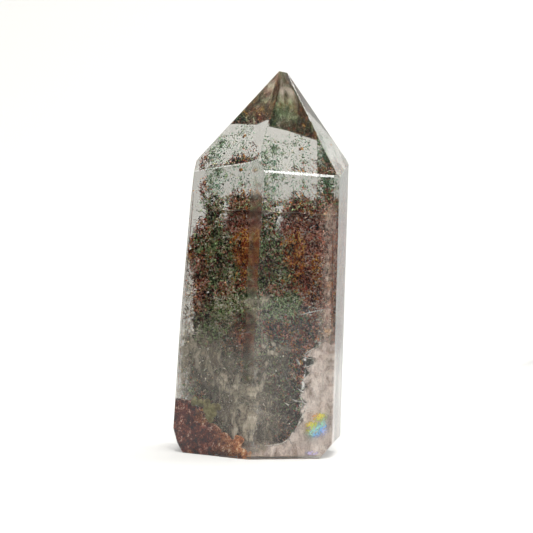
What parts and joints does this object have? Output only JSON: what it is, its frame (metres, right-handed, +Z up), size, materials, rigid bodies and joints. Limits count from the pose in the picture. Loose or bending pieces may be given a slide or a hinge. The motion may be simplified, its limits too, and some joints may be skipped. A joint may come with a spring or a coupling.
{
  "type": "chlorite quartz crystal",
  "caption": "Polished six-sided quartz point with sloping termination and flat base, clear quartz holding green and rust-coloured chlorite inclusions.",
  "frame": {"origin": "middle of the footprint, on the ground base that the crystal stands on", "axes": "+Z up along the crystal towards its point, -Y out of the front, +X to the viewer's right"},
  "size_m": [0.0308, 0.0327, 0.0699],
  "materials": {
    "chlorite_quartz": "polished clear quartz, cloudy with green chlorite and rust-coloured inclusions",
    "chlorite": "earthy green mineral grains inside the quartz",
    "iron_oxide": "rust-coloured to black-brown mineral grains inside the quartz",
    "veil": "milky healed fractures inside the quartz"
  },
  "bodies": {
    "root": {"quartz_crystal": "chlorite_quartz"}
  },
  "joints": []
}
